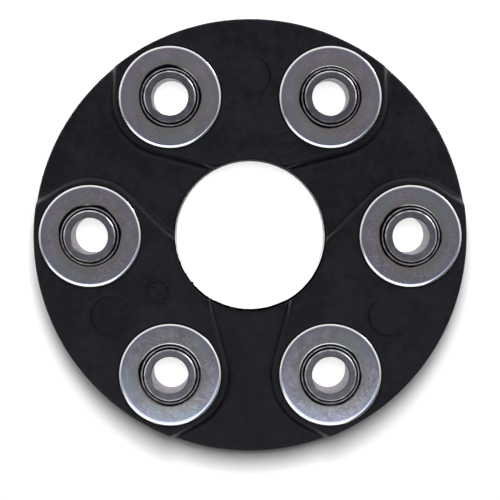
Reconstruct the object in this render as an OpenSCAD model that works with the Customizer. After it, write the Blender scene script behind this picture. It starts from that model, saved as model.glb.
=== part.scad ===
// Flexible disc coupling for a driveshaft.
// A moulded rubber disc holds six steel bolt sleeves on one bolt circle. Cord loops inside the
// rubber run round neighbouring sleeves, three near the front face and three near the rear face,
// and the rubber stands up in a lobe over each loop. The disc lies flat on its sleeves' lower ends.

/* [Bolt circle] */
// Diameter of the circle through the six bolt axes
bolt_circle_d = 105; // [96:0.5:120]

/* [Bolt sleeves] */
// Bore of a sleeve
bore_d = 12.1; // [10:0.1:13]
// Length of a sleeve, which is the clamped thickness of the coupling
sleeve_len = 32; // [30:0.5:38]
// Outside diameter of a sleeve's body, which the flanges are pressed on
sleeve_d = 19.2; // [18.4:0.1:20]
// Diameter of the turned nose at each end of a sleeve
nose_d = 16.9; // [15.6:0.1:17.2]
// Height of the nose above the shoulder beside it
nose_h = 1.8; // [1:0.1:2.4]
// Width of the relief groove turned at the foot of the nose
relief_w = 0.6; // [0.3:0.05:0.7]
// Depth of the relief groove below the shoulder
relief_depth = 0.7; // [0.2:0.1:1.2]
// Chamfer on the outer edge of the nose
nose_chamfer = 0.4; // [0.2:0.1:0.8]
// Chamfer at each mouth of the bore
bore_chamfer = 0.3; // [0.2:0.1:0.8]

/* [Flanges] */
// Outside diameter of a flange's plate
flange_d = 33.4; // [32:0.1:36]
// Thickness of a flange's plate
flange_t = 2.5; // [1.8:0.1:3]
// Drop from a sleeve's end to the face of its flange
flange_drop = 2.7; // [2:0.1:3.5]
// Wall of the neck that the cord loop lies on
neck_wall = 1.2; // [0.8:0.1:1.8]
// Rounding of the plate's outer edge
flange_round = 0.8; // [0.3:0.1:1]
// Rounding of the plate's mouth round the sleeve
mouth_round = 0.7; // [0.3:0.1:1]

/* [Cord loops] */
// Thickness of a cord loop where it passes round a neck
cord_t = 4.6; // [3:0.1:5]
// Distance that the two runs of a loop are drawn in between its sleeves
cord_waist = 0.5; // [0.3:0.1:1.5]
// Outside diameter of the collar that keeps the front and rear loops apart
collar_d = 28.8; // [24:0.1:29.4]
// Thickness of that collar
collar_t = 1.5; // [1:0.1:2.5]

/* [Rubber body] */
// Diameter of the hole in the middle
hole_d = 50; // [40:0.5:54]
// Rubber outside the flanges at the rim
rim_cover = 1.8; // [1.1:0.1:4]
// Drop from a flange's face to the face of the lobe round it
lobe_drop = 1; // [0.6:0.1:1.4]
// Height of the step from a lobe down to the valley beside it
step_h = 5; // [3.5:0.1:6]
// Flat rubber left round a flange at the head of the step
step_cover = 1.6; // [0.9:0.1:2]
// Width of the sloping wall of the step
step_run = 0.9; // [0.8:0.1:2.5]
// Rounding at the head of the step
step_round = 1.4; // [0.5:0.1:1.6]
// Fillet at the foot of the step
step_fillet = 2; // [0.5:0.1:2.4]
// Angle between a sleeve's radius and the straight wall that runs in to the hole
inner_wall_angle = 45; // [38:1:50]
// Angle between a sleeve's radius and the straight wall that runs out to the rim
outer_wall_angle = 33; // [28:1:40]
// Rounding of the edges at the rim and round the hole
edge_round = 0.9; // [0.4:0.1:1]
// Diameter of the round mark left by a mould insert on each front lobe
mark_d = 14.4; // [10:0.1:16]
// Depth of that mark
mark_depth = 0.3; // [0.1:0.1:0.6]

/* [Hidden] */
$fn = 96;
SLEEVES = 6;
PITCH = 360 / SLEEVES;
LOOPS = SLEEVES / 2;
round_steps = 4;
// Share of the shoulder that the relief groove may take, so that a lip is left outside it
relief_most = 0.8;
// Depth that one moulded form sinks into the next, so that they merge
bed = 0.05;
// Distance that a straight stretch of the step lies inside the round stretch that it runs on from
wall_inset = 0.4;
// Difference between the roundings of the round and straight stretches
tighter = 0.15;
// Clearance all round a cord loop, on the metal that it lies on and in the rubber
cord_room = 0.05;
// Length that carries a cut or a wall past the surface it ends at
past = 2;

bolt_r = bolt_circle_d / 2;
mid_z = sleeve_len / 2;
bore_r = bore_d / 2;
sleeve_r = sleeve_d / 2;
nose_r = nose_d / 2;
flange_r = flange_d / 2;
relief_r = nose_r + min(relief_w, relief_most * (sleeve_r - nose_r));
neck_r = sleeve_r + neck_wall;
cord_r = neck_r + cord_t;
collar_r = collar_d / 2;
hole_r = hole_d / 2;
rim_r = bolt_r + flange_r + rim_cover;

// Heights above the middle plane of the disc
end_z = sleeve_len / 2;
shoulder_z = end_z - nose_h;
flange_z = end_z - flange_drop;
plate_z = flange_z - flange_t;
collar_z = collar_t / 2;
lobe_z = flange_z - lobe_drop;
valley_z = lobe_z - step_h;
root_z = valley_z / 2;

// Neighbouring sleeves seen from the middle of the lobe that they share
pair_half = bolt_r * sin(PITCH / 2);
pair_r = bolt_r * cos(PITCH / 2);

// The step's wall in section, as distances from the axis of the sleeve that it passes round
head_r = flange_r + step_cover;
foot_r = head_r + step_run;
wall_slope = atan2(step_h, step_run);
tangent_share = tan(wall_slope / 2);
wall_in = head_r / 3;

// Points along a round edge, from one angle to another
function arc(x, y, r, from, to) = [
    for (i = [0:round_steps])
        let (a = from + (to - from) * i / round_steps)
        [x + r * cos(a), y + r * sin(a)]
];

// The same points reflected in the X axis and taken in reverse, to close a symmetrical outline
function reflected(points) = [
    for (i = [len(points) - 1:-1:0])
        [points[i][0], -points[i][1]]
];

// Places its children on the axis of one sleeve, with X pointing away from the disc's centre
module at_sleeve(i) {
    rotate([0, 0, PITCH * (i - 1)])
        translate([bolt_r, 0, mid_z])
            children();
}

// Places its children at the centre of the disc, turned to the middle of one front lobe
module at_front_lobe(i) {
    translate([0, 0, mid_z])
        rotate([0, 0, PITCH * (2 * i - 0.5)])
            children();
}

// Turns its children over to the rear face, where the lobes stand between the front ones
module at_rear_lobe(i) {
    translate([0, 0, mid_z])
        rotate([180, 0, PITCH * (2 * i - 1.5)])
            children();
}

// Turned steel sleeve: a thick tube with a nose and a relief groove at each end
module bolt_sleeve(i) {
    upper = [
        [sleeve_r, shoulder_z],
        [relief_r, shoulder_z],
        [relief_r, shoulder_z - relief_depth],
        [nose_r, shoulder_z - relief_depth],
        [nose_r, end_z - nose_chamfer],
        [nose_r - nose_chamfer, end_z],
        [bore_r + bore_chamfer, end_z],
        [bore_r, end_z - bore_chamfer]
    ];
    color("#8f8b8d")
        at_sleeve(i)
            rotate_extrude() polygon(concat(upper, reflected(upper)));
}

// Pressed steel flange: a round plate with a neck that reaches in to the collar
module flange_section() {
    polygon(concat(
        [[sleeve_r, collar_z], [neck_r, collar_z], [neck_r, plate_z], [flange_r, plate_z]],
        arc(flange_r - flange_round, flange_z - flange_round, flange_round, 0, 90),
        arc(sleeve_r + mouth_round, flange_z - mouth_round, mouth_round, 90, 180)
    ));
}

module front_flange(i) {
    color("#a3a19b")
        at_sleeve(i)
            rotate_extrude() flange_section();
}

module rear_flange(i) {
    color("#a3a19b")
        at_sleeve(i)
            rotate([180, 0, 0])
                rotate_extrude() flange_section();
}

// Steel collar in the middle of a sleeve, between the two necks
module centre_collar(i) {
    color("#77797c")
        at_sleeve(i)
            translate([0, 0, -collar_z])
                linear_extrude(collar_t)
                    difference() {
                        circle(r = collar_r);
                        circle(r = sleeve_r);
                    }
}

// Outline of a loop's outside: round both sleeves and a little drawn in along the runs
module loop_outline(r) {
    for (side = [-1, 1])
        translate([pair_r, side * pair_half]) circle(r = r);
    translate([pair_r, 0])
        square([2 * (r - cord_waist), 2 * pair_half], center = true);
}

// Wound cord loop that ties two neighbouring sleeves together
module cord_loop() {
    color("#c9bfa0")
        translate([0, 0, collar_z + cord_room])
            linear_extrude(plate_z - collar_z - 2 * cord_room)
                difference() {
                    loop_outline(cord_r);
                    loop_outline(neck_r + cord_room);
                }
}

module front_cord_loop(i) at_front_lobe(i) cord_loop();

module rear_cord_loop(i) at_rear_lobe(i) cord_loop();

// Section of a lobe from an inner distance out past the foot of its step. The first chord of the
// head runs on above the lobe's face, and the foot's last chord sinks below the valley.
module step_section(inner, head, foot, sink) {
    head_arc = arc(head_r - head * tangent_share, lobe_z - head, head, 90, 90 - wall_slope);
    foot_x = foot_r + foot * tangent_share;
    top = 2 * head_arc[0] - head_arc[1];
    polygon(concat(
        [[inner, root_z], [inner, top[1]], top],
        [for (i = [1:round_steps]) head_arc[i]],
        arc(foot_x, valley_z + foot - sink, foot, 270 - wall_slope, 270),
        [[foot_x, root_z]]
    ));
}

// Straight stretch of the step, facing the given way from a sleeve and running to one side.
// It lies a little inside the round stretch and is rounded a little tighter.
module straight_wall(facing, side, length) {
    rotate([0, 0, facing])
        translate([-wall_inset, (side + 1) / 2 * length, 0])
            rotate([90, 0, 0])
                linear_extrude(length)
                    step_section(head_r - wall_in, step_round - tighter, step_fillet - tighter, 2 * bed);
}

// One lobe, seen from the disc's centre along X: it rises round two sleeves and between them
module lobe() {
    inner_facing = 90 + inner_wall_angle;
    outer_facing = 90 - outer_wall_angle;
    inner_run = (bolt_r - hole_r) * cos(inner_wall_angle) + hole_r / 2;
    outer_run = (flange_r + rim_cover) * cos(outer_wall_angle) + past;
    plate_in = head_r - wall_in / 2;
    beside_sleeve = [
        [plate_in * cos(inner_facing) - inner_run * sin(inner_facing),
         plate_in * sin(inner_facing) + inner_run * cos(inner_facing)],
        plate_in * [cos(inner_facing), sin(inner_facing)],
        plate_in * [cos(outer_facing), sin(outer_facing)],
        [plate_in * cos(outer_facing) + outer_run * sin(outer_facing),
         plate_in * sin(outer_facing) - outer_run * cos(outer_facing)]
    ];
    turned = [
        for (p = beside_sleeve)
            [pair_r + p[0] * cos(PITCH / 2) - p[1] * sin(PITCH / 2),
             pair_half + p[0] * sin(PITCH / 2) + p[1] * cos(PITCH / 2)]
    ];
    upper = concat(turned, [[rim_r + 2 * past, turned[3][1]]]);
    translate([0, 0, root_z])
        linear_extrude(lobe_z + bed - root_z) polygon(concat(upper, reflected(upper)));
    for (side = [0, 1])
        mirror([0, side, 0])
            rotate([0, 0, PITCH / 2])
                translate([bolt_r, 0, 0]) {
                    rotate_extrude() step_section(0, step_round, step_fillet, bed);
                    straight_wall(inner_facing, 1, inner_run);
                    straight_wall(outer_facing, -1, outer_run);
                }
}

// Everything that the mould leaves empty above the valleys of one face. Its floor rounds down
// over the edges of the rim and the hole, and the three lobes are left standing.
module valleys() {
    difference() {
        rotate_extrude()
            polygon(concat(
                [[hole_r - past, lobe_z + past], [hole_r - past, valley_z - edge_round]],
                arc(hole_r + edge_round - bed, valley_z - edge_round, edge_round, 180, 90),
                arc(rim_r - edge_round + bed, valley_z - edge_round, edge_round, 90, 0),
                [[rim_r + past, valley_z - edge_round], [rim_r + past, lobe_z + past]]
            ));
        for (i = [0:LOOPS - 1])
            rotate([0, 0, 2 * PITCH * i]) lobe();
    }
}

// Room in the rubber for one sleeve with its flanges and collar
module sleeve_room() {
    upper = [
        [0, lobe_z + past],
        [flange_r, lobe_z + past],
        [flange_r, plate_z],
        [neck_r, plate_z],
        [neck_r, collar_z],
        [collar_r, collar_z]
    ];
    rotate_extrude() polygon(concat(upper, reflected(upper)));
}

// Room in the rubber for one cord loop, with the rubber between its two runs left standing
module loop_room() {
    translate([0, 0, collar_z - bed])
        linear_extrude(plate_z - collar_z + 2 * bed)
            difference() {
                loop_outline(cord_r + cord_room);
                translate([pair_r, 0])
                    square([2 * (neck_r - cord_waist - cord_room), 2 * pair_half], center = true);
            }
}

// Moulded rubber: a ring with its edges rounded, valleys in both faces, and room for what it holds
module rubber_body() {
    upper = concat(
        arc(rim_r - edge_round, lobe_z - edge_round, edge_round, 0, 90),
        arc(hole_r + edge_round, lobe_z - edge_round, edge_round, 90, 180)
    );
    color("#1f2024")
        difference() {
            translate([0, 0, mid_z])
                rotate_extrude() polygon(concat(upper, reflected(upper)));
            at_front_lobe(1) valleys();
            at_rear_lobe(1) valleys();
            for (i = [1:SLEEVES])
                at_sleeve(i) sleeve_room();
            for (i = [1:LOOPS]) {
                at_front_lobe(i) loop_room();
                at_rear_lobe(i) loop_room();
                at_front_lobe(i)
                    translate([bolt_r, 0, lobe_z - mark_depth])
                        cylinder(r = mark_d / 2, h = mark_depth + past);
            }
        }
}

rubber_body();
for (i = [1:SLEEVES]) {
    bolt_sleeve(i);
    front_flange(i);
    rear_flange(i);
    centre_collar(i);
}
for (i = [1:LOOPS]) {
    front_cord_loop(i);
    rear_cord_loop(i);
}
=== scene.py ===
import math

import bmesh
import bpy
from mathutils import Matrix, Vector, noise


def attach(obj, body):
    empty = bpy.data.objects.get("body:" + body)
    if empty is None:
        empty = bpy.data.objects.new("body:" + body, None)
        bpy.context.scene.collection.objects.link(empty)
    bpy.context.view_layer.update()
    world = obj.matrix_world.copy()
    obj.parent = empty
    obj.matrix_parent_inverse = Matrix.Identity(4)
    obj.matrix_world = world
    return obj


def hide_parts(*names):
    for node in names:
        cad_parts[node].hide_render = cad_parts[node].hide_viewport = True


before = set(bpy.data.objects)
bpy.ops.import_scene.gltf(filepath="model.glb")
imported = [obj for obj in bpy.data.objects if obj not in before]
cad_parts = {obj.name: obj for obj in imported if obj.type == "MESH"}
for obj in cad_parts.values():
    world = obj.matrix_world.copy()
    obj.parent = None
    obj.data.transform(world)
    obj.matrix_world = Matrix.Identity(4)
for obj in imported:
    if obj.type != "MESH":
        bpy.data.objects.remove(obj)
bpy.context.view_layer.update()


# Bolt sleeves: six thick tubes, turned from steel bar and drilled through. Each end is faced, with
# a nose standing proud of a shoulder and a relief groove at its foot. The flanges are pressed on
# the plain length in the middle.
MM = 0.001
TINY = 0.001
SLEEVES = 6
BOLT_R = 52.5
MID_Z = 16
BORE_R = 6.05
SLEEVE_R = 9.6
NOSE_R = 8.45
RELIEF_R = 9.05
END_Z = 16
SHOULDER_Z = 14.2
RELIEF_Z = 13.5
NOSE_CHAMFER = 0.38
BORE_CHAMFER = 0.28
SHOULDER_BREAK = 0.18
RELIEF_BREAK = 0.2
SLEEVE_STEPS = 96
SMOOTH_ANGLE = 40
CUTS_PER_MM = 9
STEEL_PATCHES = 420
STEEL = (0.185, 0.161, 0.192, 1)
STEEL_SHADE = (0.125, 0.107, 0.13, 1)
STEEL_WORN_HIGHLIGHT = (0.74, 0.71, 0.75, 1)
STEEL_GRAZED = (0.7, 0.67, 0.7, 1)
GRIME_AND_SHADE = (0.005, 0.0045, 0.004, 1)


class Wire:
    """An output of a node in a finish, which takes part in plain arithmetic."""

    def __init__(self, tree, socket=None):
        self.tree = tree
        self.socket = socket

    def node(self, kind, settings=None, sockets=None, out=0):
        """Adds a node, sets it, gives its sockets values or wires, and returns one of its outputs."""
        made = self.tree.nodes.new("ShaderNode" + kind)
        for key, value in (settings or {}).items():
            setattr(made, key, value)
        for key, value in (sockets or {}).items():
            if isinstance(value, Wire):
                self.tree.links.new(value.socket, made.inputs[key])
            else:
                made.inputs[key].default_value = value
        return Wire(self.tree, made.outputs[out]) if len(made.outputs) else None

    def math(self, operation, first, second):
        return self.node("Math", {"operation": operation}, {0: first, 1: second})

    def __add__(self, other):
        return self.math("ADD", self, other)

    def __radd__(self, other):
        return self.math("ADD", other, self)

    def __rsub__(self, other):
        return self.math("SUBTRACT", other, self)

    def __mul__(self, other):
        return self.math("MULTIPLY", self, other)

    def __rmul__(self, other):
        return self.math("MULTIPLY", other, self)

    def between(self, low, high):
        """Rises smoothly from 0 at one value to 1 at another."""
        return self.node(
            "MapRange",
            {"interpolation_type": "SMOOTHSTEP"},
            {"Value": self, "From Min": low, "From Max": high},
        )

    def colours(self, first, second):
        """Goes from one colour to another as this value goes from 0 to 1."""
        return self.node("Mix", {"data_type": "RGBA"}, {0: self, 6: first, 7: second}, 2)

    def speckle(self, scale, detail=2, roughness=0.5):
        """Soft random spots, with so many to a metre, on this vector."""
        return self.node(
            "TexNoise", {}, {"Vector": self, "Scale": scale, "Detail": detail, "Roughness": roughness}
        )

    def attribute(self, name):
        """A number that the mesh carries at each of its points."""
        return self.node("Attribute", {"attribute_name": name}, {}, "Fac")

    def cover(self, shader):
        """Ends the finish in a shader."""
        self.node("OutputMaterial", {}, {"Surface": shader})


def new_finish(name):
    """An empty material and the wire that its nodes start from."""
    finish = bpy.data.materials.new(name)
    finish.use_nodes = True
    finish.node_tree.nodes.clear()
    return finish, Wire(finish.node_tree)


def sleeve_axis(i):
    """Where a sleeve's axis crosses the middle plane of the disc, in millimetres."""
    turn = math.tau * (i - 1) / SLEEVES
    return Vector((BOLT_R * math.cos(turn), BOLT_R * math.sin(turn), MID_Z))


def turn_section(section, steps):
    """Spins a closed section about the Z axis.

    A corner is a radius, a height, and the size and steps of its rounded or cut edge.
    """
    bm = bmesh.new()
    corners = [bm.verts.new((r, 0, z)) for r, z, _, _ in section]
    for near, far in zip(corners, corners[1:] + corners[:1]):
        bm.edges.new((near, far))
    bmesh.ops.spin(
        bm, geom=bm.verts[:] + bm.edges[:], axis=(0, 0, 1), angle=math.tau, steps=steps, use_merge=True
    )
    bmesh.ops.remove_doubles(bm, verts=bm.verts, dist=TINY)
    bmesh.ops.recalc_face_normals(bm, faces=bm.faces)
    for size, segments in sorted({corner[2:] for corner in section if corner[2]}):
        sharp = [corner[:2] for corner in section if corner[2:] == (size, segments)]
        rings = []
        for edge in bm.edges:
            ends = [(math.hypot(v.co.x, v.co.y), v.co.z) for v in edge.verts]
            if any(all(math.dist(end, corner) < TINY for end in ends) for corner in sharp):
                rings.append(edge)
        bmesh.ops.bevel(
            bm,
            geom=rings,
            offset=size,
            segments=segments,
            profile=0.5,
            affect="EDGES",
            material=-1,
        )
    ring = bm.verts.layers.float.new("ring")
    level = bm.verts.layers.float.new("level")
    for v in bm.verts:
        v[ring] = math.hypot(v.co.x, v.co.y)
        v[level] = abs(v.co.z)
    return bm


def add_piece(name, bm, finish, slot, *nodes):
    """Makes an object of a mesh in millimetres, which rides on the disc and stands for CAD nodes."""
    bm.transform(Matrix.Scale(MM, 4))
    mesh = bpy.data.meshes.new(name)
    bm.to_mesh(mesh)
    bm.free()
    for face in mesh.polygons:
        face.use_smooth = True
    mesh.set_sharp_from_angle(angle=math.radians(SMOOTH_ANGLE))
    mesh.materials.append(finish)
    piece = bpy.data.objects.new(name, mesh)
    bpy.context.scene.collection.objects.link(piece)
    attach(piece, "root")
    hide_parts(*nodes)


turned_steel, start = new_finish("turned_steel")
where = start.node("TexCoord", {}, {}, "Object")
ring = start.attribute("ring")
cuts = start.node("TexNoise", {"noise_dimensions": "1D"}, {"W": ring, "Scale": CUTS_PER_MM, "Detail": 3})
patches = where.speckle(STEEL_PATCHES, 3)
shade = (0.55 * cuts + 0.45 * patches).between(0.38, 0.62)
level = start.attribute("level")
# Painted shade: below the shoulder, from the relief groove down, the steel is painted near black.
sunk = (1 - level.between(SHOULDER_Z - 0.4, SHOULDER_Z - 0.05)) * ring.between(BORE_R + 1, BORE_R + 1.6)
nose_edge = ring.between(NOSE_R - 0.45, NOSE_R - 0.35) * level.between(SHOULDER_Z + 1, SHOULDER_Z + 1.3)
# The shoulder's face is painted part way to near black.
on_shoulder = level.between(SHOULDER_Z - 0.3, SHOULDER_Z - 0.2)
on_shoulder = on_shoulder * ring.between(NOSE_R + 0.2, RELIEF_R - 0.1)
shoulder_edge = on_shoulder * (1 - ring.between(RELIEF_R + 0.2, RELIEF_R + 0.4))
# The nose chamfer and the shoulder's inner edge are rubbed bright, and painted brighter still as a
# highlight.
worn_and_highlight = (nose_edge + 0.9 * shoulder_edge) * (0.4 + 0.6 * patches.between(0.35, 0.6))
steel = shade.colours(STEEL_SHADE, STEEL)
steel = (0.4 * on_shoulder).colours(steel, GRIME_AND_SHADE)
steel = worn_and_highlight.colours(steel, STEEL_WORN_HIGHLIGHT)
start.cover(
    start.node(
        "BsdfPrincipled",
        {},
        {
            "Base Color": sunk.colours(steel, GRIME_AND_SHADE),
            "Metallic": 1,
            "Roughness": 0.26 + 0.16 * patches,
            "Specular Tint": STEEL_GRAZED,
            "Normal": start.node("Bump", {}, {"Strength": 0.25, "Distance": 0.00004, "Height": cuts}),
        },
    )
)

sleeve_end = [
    (SLEEVE_R, SHOULDER_Z, SHOULDER_BREAK, 2),
    (RELIEF_R, SHOULDER_Z, RELIEF_BREAK, 2),
    (RELIEF_R, RELIEF_Z, 0, 0),
    (NOSE_R, RELIEF_Z, 0, 0),
    (NOSE_R, END_Z, NOSE_CHAMFER, 1),
    (BORE_R, END_Z, BORE_CHAMFER, 1),
]
sleeve_section = sleeve_end + [(r, -z, *edge) for r, z, *edge in reversed(sleeve_end)]
for i in range(1, SLEEVES + 1):
    bm = turn_section(sleeve_section, SLEEVE_STEPS)
    bm.transform(Matrix.Translation(sleeve_axis(i)))
    add_piece(f"turned_sleeve_{i}", bm, turned_steel, "sleeve_steel", f"bolt_sleeve_{i}")


# Centre collars: flat steel rings that keep the front and rear cord loops apart on each sleeve.
# They are moulded in, so only a plain rolled finish is ever seen on them.
ROLLED_DARK = (0.2, 0.2, 0.21, 1)
ROLLED_LIGHT = (0.32, 0.32, 0.33, 1)
ROLLED_GRAIN = 300

rolled_steel, start = new_finish("rolled_steel")
where = start.node("TexCoord", {}, {}, "Object")
grain = where.node("Mapping", {}, {"Vector": where, "Scale": (1, 12, 1)}).speckle(ROLLED_GRAIN, 3)
start.cover(
    start.node(
        "BsdfPrincipled",
        {},
        {
            "Base Color": grain.colours(ROLLED_DARK, ROLLED_LIGHT),
            "Metallic": 1,
            "Roughness": 0.35 + 0.2 * grain,
        },
    )
)
for i in range(1, SLEEVES + 1):
    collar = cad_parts[f"centre_collar_{i}"]
    collar.data.materials.clear()
    collar.data.materials.append(rolled_steel)


# Flanges: round steel plates with a neck, pressed on the sleeves from both ends and zinc plated.
# The plating is mottled, a little warm round the mouth and bluish near the rim. The coined
# edge of the rim is rubbed bright and painted brighter still as a highlight, and the mouth
# round the sleeve is painted near black, part dirt and part shade in the gap there.
FLANGE_R = 16.7
NECK_R = 10.8
FLANGE_Z = 13.3
PLATE_Z = 10.8
COLLAR_Z = 0.75
RIM_FALL = 0.3
RIM_RUN = 0.7
MOUTH_ROUND = 0.7
PLATE_BREAK = 0.15
NECK_FILLET = 0.4
COINED_BREAK = 0.2
FLAT_INSET = 1.3
MOUTH_LAND = 1
FLANGE_STEPS = 120
ZINC_CLOUDS = 190
ZINC_SPOTS = 1100
ZINC_CRYSTALS = 2400
ZINC_TINTS = 75
GRIME_SHADE_SPOTS = 170
GRIME_SHADE_DRIFT = 60
GRIME_SHADE_IN, GRIME_SHADE_OUT = 11.35, 11.8
ZINC = (0.665, 0.593, 0.7, 1)
ZINC_SHADE = (0.485, 0.43, 0.525, 1)
ZINC_WARM = (0.51, 0.452, 0.42, 1)
ZINC_BLUE = (0.51, 0.48, 0.67, 1)
ZINC_TEAL = (0.5, 0.56, 0.61, 1)
ZINC_RUBBED_HIGHLIGHT = (0.86, 0.86, 0.87, 1)

zinc_plate, start = new_finish("zinc_plate")
where = start.node("TexCoord", {}, {}, "Object")
ring = start.attribute("ring")
clouds = where.speckle(ZINC_CLOUDS, 4, 0.6)
spots = where.speckle(ZINC_SPOTS, 2)
crystals = where.speckle(ZINC_CRYSTALS, 1)
mottle = (0.4 * clouds + 0.3 * spots + 0.3 * crystals).between(0.4, 0.6)
warm = 1 - (ring + 1.8 * clouds).between(11.2, 14.4)
blue = (ring + 2.4 * clouds).between(14.6, 17.2)
teal = where.speckle(ZINC_TINTS, 2).between(0.46, 0.62)
# The coined edge of the rim is rubbed bright, and painted brighter still as a highlight.
rim = ring.between(FLANGE_R - 0.75, FLANGE_R - 0.6)
tone = mottle.colours(ZINC_SHADE, ZINC)
tone = (0.75 * teal).colours(tone, ZINC_TEAL)
tone = (0.7 * warm).colours(tone, ZINC_WARM)
tone = (0.6 * blue).colours(tone, ZINC_BLUE)
# Painted shade: a band just inside the rim is painted darker.
tone = (0.3 * ring.between(14.8, 15.8)).colours(tone, ZINC_SHADE)
tone = rim.colours(tone, ZINC_RUBBED_HIGHLIGHT)
# Round the mouth the plating is painted near black in a ragged band, part dirt and part shade in the gap
# round the sleeve.
mouth_grime_and_shade = ring + where.speckle(GRIME_SHADE_SPOTS, 3) + 1.8 * where.speckle(GRIME_SHADE_DRIFT, 1)
tone = (1 - mouth_grime_and_shade.between(GRIME_SHADE_IN, GRIME_SHADE_OUT)).colours(tone, GRIME_AND_SHADE)
start.cover(
    start.node(
        "BsdfPrincipled",
        {},
        {
            "Base Color": tone,
            "Metallic": 1,
            "Roughness": 0.1 + 0.015 * spots + 0.015 * mottle,
            "Normal": start.node("Bump", {}, {"Strength": 0.014, "Distance": 0.0001, "Height": clouds}),
        },
    )
)

flange_section = [
    (SLEEVE_R, COLLAR_Z, 0, 0),
    (NECK_R, COLLAR_Z, PLATE_BREAK, 2),
    (NECK_R, PLATE_Z, NECK_FILLET, 1),
    (FLANGE_R, PLATE_Z, PLATE_BREAK, 2),
    (FLANGE_R, FLANGE_Z - RIM_FALL, PLATE_BREAK, 3),
    (FLANGE_R - RIM_RUN, FLANGE_Z, COINED_BREAK, 3),
    (FLANGE_R - FLAT_INSET, FLANGE_Z, 0, 0),
    (SLEEVE_R + MOUTH_LAND, FLANGE_Z, 0, 0),
    (SLEEVE_R, FLANGE_Z, MOUTH_ROUND, 8),
]
for side, face in (("front", 1), ("rear", -1)):
    for i in range(1, SLEEVES + 1):
        bm = turn_section([(r, face * z, *edge) for r, z, *edge in flange_section], FLANGE_STEPS)
        bm.transform(Matrix.Translation(sleeve_axis(i)))
        add_piece(f"zinc_{side}_flange_{i}", bm, zinc_plate, "flange_zinc", f"{side}_flange_{i}")


# Cord loops: polyester cord wound round the necks of neighbouring sleeves, three loops near each
# face. They are buried in the rubber.
LOOPS = 3
CORD_DARK = (0.36, 0.31, 0.2, 1)
CORD_LIGHT = (0.62, 0.56, 0.42, 1)
CORD_TURNS = 420
CORD_FIBRES = 2600

wound_cord, start = new_finish("wound_cord")
where = start.node("TexCoord", {}, {}, "Object")
turns = start.node(
    "TexWave",
    {"bands_direction": "Z"},
    {"Vector": where, "Scale": CORD_TURNS, "Distortion": 1.5, "Detail": 2},
)
fibres = where.speckle(CORD_FIBRES, 3)
start.cover(
    start.node(
        "BsdfPrincipled",
        {},
        {
            "Base Color": (0.6 * turns + 0.4 * fibres).colours(CORD_DARK, CORD_LIGHT),
            "Roughness": 0.85,
            "Normal": start.node("Bump", {}, {"Strength": 0.5, "Distance": 0.0002, "Height": turns}),
        },
    )
)
for side in ("front", "rear"):
    for i in range(1, LOOPS + 1):
        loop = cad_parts[f"{side}_cord_loop_{i}"]
        loop.data.materials.clear()
        loop.data.materials.append(wound_cord)


# Rubber body: one black moulding, vulcanised round the sleeves, flanges and loops. Each face has
# three lobes over its cord loops, with drafted steps down to the valleys between them, and the
# lobes of the two faces alternate.
LOBES = 3
LOBE_TURN = 360 / LOBES
RIM_R = 71
HOLE_R = 25
EDGE_ROUND = 0.9
LOBE_Z = 12.3
VALLEY_Z = 7.3
STEP_HEAD = 18.3
STEP_RUN = 0.9
STEP_ROUND = 1.4
STEP_FILLET = 2
INNER_FACING = math.radians(135)
OUTER_FACING = math.radians(57)
LIP_R = 16.75
LIP_DROP = 0.3
SEAT_ROOM = 0.05
FRONT_CUTS = 92
REAR_CUTS = 60
WALL_CUTS = 7
SECTOR_STEPS = 115
MATT_END = 3
MATT_FADE = 2.5
MATT_MOST = 0.8
WALL_HEAD, WALL_FOOT = 0.1, 0.6
MARK_R = 7.2
MARK_DRAFT = 0.8
MARK_DEPTH = 0.27
MARK_FOOT = 0.4
MARK_LEANS = (20, 130, 205)
MARK_LEAN_SHARE = 0.85
FRONT_MIDDLE = 90
REAR_MIDDLE = 30
CLOCK_X, CLOCK_Y, CLOCK_R = -30.5, -18.1, 3.6
CLOCK_BEADS = 12
BEAD_R = 0.82
BEAD_RISE = 0.7
HAND_LONG, HAND_WIDE = 2, 0.5
HAND_TURN = -45
PIN_X, PIN_Y = 47.3, -36.7
PIN_IN_R, PIN_OUT_R = 3.1, 3.9
PIN_ROOT, PIN_RISE = -0.3, 0.13
PIN_ROUND = 0.12
PIN_STEPS = 48
FLOW_X, FLOW_Y, FLOW_R = 10, 30, 10
FLOW_DEPTH = 0.8
FLOW_ALONG, FLOW_ACROSS, FLOW_SLANT = 0.12, 0.8, 0.25
FLOW_SEED = 4.5
FLASH = 1.6
FLASH_CLOSE, FLASH_FROM = 0.8, 0.1
FLASH_TURN = 0.6
RUBBER_DUST = 60
RUBBER_GRAIN = 2400
RUBBER_SKIN = 420
BLACK = (0.0023, 0.002, 0.0036, 1)
BLACK_DUSTY = (0.007, 0.0064, 0.0102, 1)
STEP_PAINTED_HIGHLIGHT = (0.034, 0.033, 0.04, 1)
JET = (0.0012, 0.0012, 0.0014, 1)


def step_height(away):
    """Height of the step's section, with a rounded head, a drafted wall and a filleted foot."""
    slope = math.atan2(LOBE_Z - VALLEY_Z, STEP_RUN)
    past_head = max(away - STEP_HEAD + STEP_ROUND * math.tan(slope / 2), 0)
    short_of_foot = max(STEP_HEAD + STEP_RUN + STEP_FILLET * math.tan(slope / 2) - away, 0)
    if past_head < STEP_ROUND * math.sin(slope):
        return LOBE_Z - STEP_ROUND + math.sqrt(STEP_ROUND**2 - past_head**2)
    if short_of_foot < STEP_FILLET * math.sin(slope):
        return VALLEY_Z + STEP_FILLET - math.sqrt(STEP_FILLET**2 - short_of_foot**2)
    return LOBE_Z - (away - STEP_HEAD) * math.tan(slope)


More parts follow.
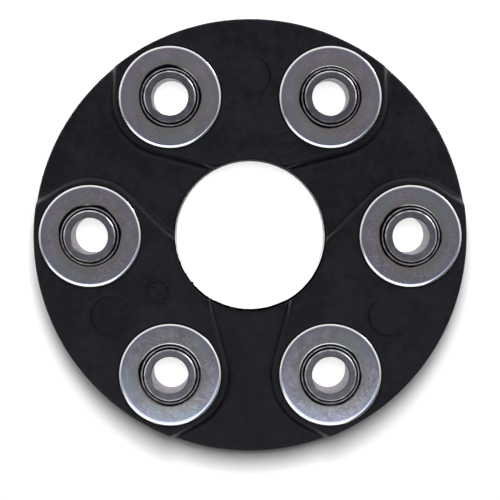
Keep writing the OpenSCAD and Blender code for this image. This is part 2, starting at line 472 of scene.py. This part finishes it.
def face_height(x, y, middle):
    """Height of one face above the middle plane, with lobes at one angle and every 120 degrees."""
    reach = math.hypot(x, y)
    turn = math.degrees(math.atan2(y, x)) - middle
    turn = math.radians(abs((turn + LOBE_TURN / 2) % LOBE_TURN - LOBE_TURN / 2) - LOBE_TURN / 4)
    out = reach * math.cos(turn) - BOLT_R
    aside = reach * math.sin(turn)
    if OUTER_FACING <= math.atan2(aside, out) <= INNER_FACING:
        away = math.hypot(out, aside)
    else:
        away = max(
            out * math.cos(facing) + aside * math.sin(facing) for facing in (INNER_FACING, OUTER_FACING)
        )
    return step_height(away)


def flow_mark(x, y):
    """Depth of the creases that the rubber kept where it last flowed together beside the hole."""
    fade = max(1 - math.hypot(x - FLOW_X, y - FLOW_Y) / FLOW_R, 0)
    along = FLOW_ALONG * (x + FLOW_SLANT * y)
    across = FLOW_ACROSS * (y - FLOW_SLANT * x)
    return FLOW_DEPTH * fade * max(noise.noise(Vector((along, across, FLOW_SEED))), 0)


def place_ring(ring, centre, reach, height):
    """Puts a ring of edges on a circle."""
    for v in {v for e in ring for v in e.verts}:
        away = (v.co.xy - centre).normalized() * reach
        v.co = (*(centre + away), height)


def ring_round(centre, reach, face):
    """The open edges that face deletion left round one place of a face."""
    return [
        e
        for e in open_edges
        if (e.verts[0].co.xy - centre).length < reach + 1 and e.verts[0].co.z * face > 0
    ]


def grow_ring(ring, centre, reach, height):
    """Draws a strip of faces from an open ring to another circle, and returns its new edges."""
    grown = bmesh.ops.extrude_edge_only(bm, edges=ring)["geom"]
    ring = [e for e in grown if isinstance(e, bmesh.types.BMEdge) and e.is_boundary]
    place_ring(ring, centre, reach, height)
    return ring


def raise_bead(x, y, turn, long, wide):
    """A small moulded bead, half sunk in the face of a lobe."""
    place = Matrix.Translation((x, y, LOBE_Z)) @ Matrix.Rotation(turn, 4, "Z")
    bmesh.ops.create_icosphere(
        bm, subdivisions=2, radius=1, matrix=place @ Matrix.Diagonal((long, wide, BEAD_RISE, 1))
    )


black_rubber, start = new_finish("black_rubber")
where = start.node("TexCoord", {}, {}, "Object")
dust = where.speckle(RUBBER_DUST, 5, 0.7)
grain = where.speckle(RUBBER_GRAIN, 2)
skin = where.speckle(RUBBER_SKIN, 3)
dusty = (0.65 * dust + 0.35 * skin).between(0.4, 0.64)
lip = start.attribute("lip")
wall = start.attribute("wall")
# Painted shade: the rubber just round each flange's rim is painted jet black, for the shade in the gap
# there.
gap = 1 - lip.between(LIP_R + 0.1, LIP_R + 0.8)
step = start.attribute("step")
# Painted highlight: the upper part of every step wall is painted a lighter grey, for the light that the
# step catches.
drafted = step.between(0.02, 0.2) * (1 - step.between(0.6, 0.85)) * (0.6 + 0.6 * skin)
rubber = drafted.colours(dusty.colours(BLACK, BLACK_DUSTY), STEP_PAINTED_HIGHLIGHT)
moulded = start.node(
    "BsdfPrincipled",
    {},
    {
        "Base Color": gap.colours(rubber, JET),
        "Roughness": 0.4 + 0.12 * dusty + 0.08 * skin + 0.3 * gap,
        "Specular IOR Level": 0.19,
        "Normal": start.node(
            "Bump", {}, {"Strength": 0.2, "Distance": 0.00012, "Height": 0.6 * grain + 0.4 * skin}
        ),
    },
)
# Matt near-black rubber, mixed in by the wall attribute: on the trimmed edges of the hole, on the step
# walls near the hole, and as painted shade on the walls of the sunk marks.
matt_trim_and_shade = start.node(
    "BsdfPrincipled",
    {},
    {"Base Color": drafted.colours(JET, STEP_PAINTED_HIGHLIGHT), "Roughness": 1, "Specular IOR Level": 0},
)
start.cover(start.node("MixShader", {}, {0: wall, 1: moulded, 2: matt_trim_and_shade}))

bm = bmesh.new()
corners = [
    bm.verts.new((r, 0, z))
    for r, z in ((HOLE_R, -LOBE_Z), (RIM_R, -LOBE_Z), (RIM_R, LOBE_Z), (HOLE_R, LOBE_Z))
]
bm.faces.new(corners)
bmesh.ops.bevel(
    bm, geom=corners, offset=EDGE_ROUND, segments=4, profile=0.5, affect="VERTICES", material=-1
)
bmesh.ops.delete(bm, geom=bm.faces[:], context="FACES_ONLY")
for edge in sorted(bm.edges, key=lambda e: -e.calc_length())[:4]:
    height = (edge.verts[0].co.z + edge.verts[1].co.z) / 2
    cuts = FRONT_CUTS if height > 1 else REAR_CUTS if height < -1 else WALL_CUTS
    bmesh.ops.subdivide_edges(bm, edges=[edge], cuts=cuts)
sector = math.tau / SLEEVES
bmesh.ops.spin(bm, geom=bm.verts[:] + bm.edges[:], axis=(0, 0, 1), angle=sector, steps=SECTOR_STEPS)
bmesh.ops.spin(
    bm,
    geom=bm.verts[:] + bm.edges[:] + bm.faces[:],
    axis=(0, 0, 1),
    angle=math.tau - sector,
    steps=SLEEVES - 1,
    use_duplicate=True,
)
bmesh.ops.remove_doubles(bm, verts=bm.verts, dist=TINY)

axes = [sleeve_axis(i).xy for i in range(1, SLEEVES + 1)]
marks = [
    Vector((BOLT_R * math.cos(turn), BOLT_R * math.sin(turn)))
    for turn in (math.radians(FRONT_MIDDLE + LOBE_TURN * i) for i in range(LOBES))
]
covered = []
for face in bm.faces:
    middle = face.calc_center_median()
    sunk = middle.z > 0 and any((middle.xy - mark).length < MARK_R for mark in marks)
    if sunk or any((middle.xy - axis).length < LIP_R for axis in axes):
        covered.append(face)
bmesh.ops.delete(bm, geom=covered, context="FACES")

wall = bm.verts.layers.float.new("wall")
step = bm.verts.layers.float.new("step")
for v in bm.verts:
    front = v.co.z > 0
    reach = math.hypot(v.co.x, v.co.y)
    rise = face_height(v.co.x, v.co.y, FRONT_MIDDLE if front else REAR_MIDDLE)
    drop = LOBE_Z - abs(v.co.z)
    v[step] = (LOBE_Z - rise) / (LOBE_Z - VALLEY_Z) if drop < EDGE_ROUND + TINY else 1
    if reach < HOLE_R + EDGE_ROUND:
        v[wall] = min(drop / EDGE_ROUND, 1)
    # The step walls near the hole are made matt and darker.
    if VALLEY_Z + WALL_FOOT < rise < LOBE_Z - WALL_HEAD:
        v[wall] = max(v[wall], min((HOLE_R + MATT_END - reach) / MATT_FADE, MATT_MOST))
    if drop < EDGE_ROUND + TINY:
        height = rise - drop
    else:
        height = (rise - EDGE_ROUND) * abs(v.co.z) / (LOBE_Z - EDGE_ROUND)
    if front:
        ragged = max(noise.noise(v.co.xy.to_3d() * FLASH_CLOSE) - FLASH_FROM, 0) * v[wall]
        lower_side = max(-math.sin(math.atan2(v.co.y, v.co.x) + FLASH_TURN), 0)
        v.co.xy *= 1 - FLASH * ragged * lower_side / reach
        height -= flow_mark(v.co.x, v.co.y)
    v.co.z = height if front else -height

open_edges = [e for e in bm.edges if e.is_boundary]
for axis in axes:
    inner_rings = []
    for face in (1, -1):
        ring = ring_round(axis, LIP_R, face)
        place_ring(ring, axis, LIP_R, face * (LOBE_Z - LIP_DROP))
        ring = grow_ring(ring, axis, LIP_R, face * (PLATE_Z - SEAT_ROOM))
        inner_rings += grow_ring(ring, axis, NECK_R + SEAT_ROOM, face * (PLATE_Z - SEAT_ROOM))
    bmesh.ops.bridge_loops(bm, edges=inner_rings)
for mark, lean in zip(marks, MARK_LEANS):
    ring = ring_round(mark, MARK_R, 1)
    place_ring(ring, mark, MARK_R, LOBE_Z)
    lean = Vector((math.cos(math.radians(lean)), math.sin(math.radians(lean))))
    # Painted shade: the walls of each sunk mark are painted darker, most on its deep side, as a crescent
    # of shade.
    for inset, shaded in ((MARK_DRAFT, 0.2), (MARK_DRAFT + MARK_FOOT, 0)):
        ring = grow_ring(ring, mark, MARK_R - inset, LOBE_Z)
        for v in {v for e in ring for v in e.verts}:
            sunk = 1 + MARK_LEAN_SHARE * (v.co.xy - mark).dot(lean) / MARK_R
            v.co.z -= MARK_DEPTH * sunk
            v[wall] = shaded * sunk**2
    bmesh.ops.contextual_create(bm, geom=ring)
for i in range(CLOCK_BEADS):
    turn = math.tau * i / CLOCK_BEADS
    x, y = CLOCK_X + CLOCK_R * math.cos(turn), CLOCK_Y + CLOCK_R * math.sin(turn)
    raise_bead(x, y, 0, BEAD_R, BEAD_R)
raise_bead(CLOCK_X, CLOCK_Y, math.radians(HAND_TURN), HAND_LONG, HAND_WIDE)
bmesh.ops.recalc_face_normals(bm, faces=bm.faces)

pin_section = [
    (PIN_IN_R, PIN_ROOT, 0, 0),
    (PIN_OUT_R, PIN_ROOT, 0, 0),
    (PIN_OUT_R, PIN_RISE, PIN_ROUND, 2),
    (PIN_IN_R, PIN_RISE, PIN_ROUND, 2),
]
pin_mark = turn_section(pin_section, PIN_STEPS)
pin_mark.transform(Matrix.Translation((PIN_X, PIN_Y, LOBE_Z)))
joined = bpy.data.meshes.new("pin_mark")
pin_mark.to_mesh(joined)
pin_mark.free()
bm.from_mesh(joined)
bpy.data.meshes.remove(joined)

lip = bm.verts.layers.float.new("lip")
for v in bm.verts:
    v[lip] = min((v.co.xy - axis).length for axis in axes)
bm.transform(Matrix.Translation((0, 0, MID_Z)))
add_piece("moulded_rubber", bm, black_rubber, "rubber", "rubber_body")


# Studio: the disc lies flat on a white floor, in soft light from all sides that is strongest from
# the top of the picture, so that its shadow falls at the bottom. A long lens looks down on it.
WHITE = (1, 1, 1)
FLOOR_WHITE = (0.85, 0.85, 0.85, 1)
FLOOR_HALF = 3
FLOOR_GLOW = 0.05
OPENING_GLOW = 0.8
OPENING_Z = 0.00005
HOLE_ROOM, BORE_ROOM = 0.5, 0.1
DIM_OVERHEAD = 0.7
NEAR_SIDE = 0.14
FILL = 0.1
PICTURE = 500
SENSOR = 36
CAMERA_AWAY = 1.0
PIXELS_PER_MM = 3.057
VANISHING = (232, 164)
DISC_CENTRE = (250.2, 236.1)


def seen_directly(start):
    """1 for what the camera, a reflection or a clear material sees, and 0 for what only lights."""
    rays = [
        start.node("LightPath", {}, {}, name)
        for name in ("Is Camera Ray", "Is Glossy Ray", "Is Transmission Ray")
    ]
    return start.math("MAXIMUM", rays[0], start.math("MAXIMUM", rays[1], rays[2]))


def add_stage(name, bm, glow):
    """A white matt surface of the studio, which glows a little where it is seen."""
    finish, start = new_finish(name)
    matt = start.node("BsdfDiffuse", {}, {"Color": FLOOR_WHITE})
    light = start.node("Emission", {}, {"Color": (*WHITE, 1), "Strength": glow * seen_directly(start)})
    start.cover(start.node("AddShader", {}, {0: matt, 1: light}))
    mesh = bpy.data.meshes.new(name)
    bm.to_mesh(mesh)
    bm.free()
    mesh.materials.append(finish)
    surface = bpy.data.objects.new(name, mesh)
    bpy.context.scene.collection.objects.link(surface)


bm = bmesh.new()
bmesh.ops.create_grid(bm, x_segments=8, y_segments=8, size=FLOOR_HALF)
add_stage("studio_floor", bm, FLOOR_GLOW)
# Painted light: white discs just above the floor under the hole and the bores glow where seen, so the
# floor there shows white, without the disc's shadow.
bm = bmesh.new()
openings = [(0, 0, HOLE_R - HOLE_ROOM)] + [(*axis, BORE_R - BORE_ROOM) for axis in axes]
for x, y, r in openings:
    place = Matrix.Translation((x * MM, y * MM, OPENING_Z))
    bmesh.ops.create_circle(bm, cap_ends=True, segments=48, radius=r * MM, matrix=place)
add_stage("hole_floor_painted_light", bm, OPENING_GLOW)

world = bpy.data.worlds.new("studio_light")
bpy.context.scene.world = world
world.use_nodes = True
world.node_tree.nodes.clear()
start = Wire(world.node_tree)
direction = start.node("TexCoord", {}, {}, "Generated")
height = start.node("SeparateXYZ", {}, {"Vector": direction}, "Z")
ahead = start.node("SeparateXYZ", {}, {"Vector": direction}, "Y")
seen = seen_directly(start)
light = 1 - DIM_OVERHEAD * height.between(0.6, 0.97)
light = light * (NEAR_SIDE + (1 - NEAR_SIDE) * ahead.between(-0.6, 0.3))
start.node(
    "OutputWorld",
    {},
    {
        "Surface": start.node(
            "Background", {}, {"Color": (*WHITE, 1), "Strength": light * (FILL + (1 - FILL) * seen)}
        )
    },
)


def add_lamp(name, place, target, wide, high, watts, colour=WHITE, reflected=True):
    """A soft rectangular lamp that faces a point, and lights the studio or is only seen reflected."""
    lamp = bpy.data.lights.new(name, "AREA")
    lamp.shape = "RECTANGLE"
    lamp.size = wide
    lamp.size_y = high
    lamp.energy = watts
    lamp.color = colour
    stand = bpy.data.objects.new(name, lamp)
    stand.location = place
    stand.rotation_euler = (Vector(target) - Vector(place)).to_track_quat("-Z", "Y").to_euler()
    stand.visible_glossy = reflected
    stand.visible_diffuse = not reflected
    bpy.context.scene.collection.objects.link(stand)


add_lamp("key_lamp", (0, 0.33, 1.4), (0, 0.33, 0), wide=0.32, high=0.52, watts=27, reflected=False)
add_lamp(
    "low_window", (0, -0.66, 1.5), (0, -0.66, 0), wide=1.2, high=0.92, watts=6.5, colour=(0.8, 0.975, 1)
)
add_lamp("near_window", (-0.45, -1.4, 1.4), (0, 0, 0.03), wide=2.6, high=1.1, watts=10)
add_lamp("glint", (1.3, 1, 0.3), (0, 0, 0.03), wide=0.5, high=0.4, watts=6)

focal = PIXELS_PER_MM * CAMERA_AWAY / MM
camera = bpy.data.cameras.new("camera")
camera.sensor_width = SENSOR
camera.lens = SENSOR * focal / PICTURE
stand = bpy.data.objects.new("camera", camera)
upright = Vector((PICTURE / 2 - VANISHING[0], VANISHING[1] - PICTURE / 2, focal)).normalized()
tilt = upright.rotation_difference(Vector((0, 0, 1)))
sight = Vector((DISC_CENTRE[0] - PICTURE / 2, PICTURE / 2 - DISC_CENTRE[1], -focal))
sight *= CAMERA_AWAY / focal
stand.location = Vector((0, 0, (MID_Z + FLANGE_Z) * MM)) - tilt @ sight
stand.rotation_euler = tilt.to_euler()
bpy.context.scene.collection.objects.link(stand)
bpy.context.scene.camera = stand
bpy.context.scene.view_settings.view_transform = "Standard"
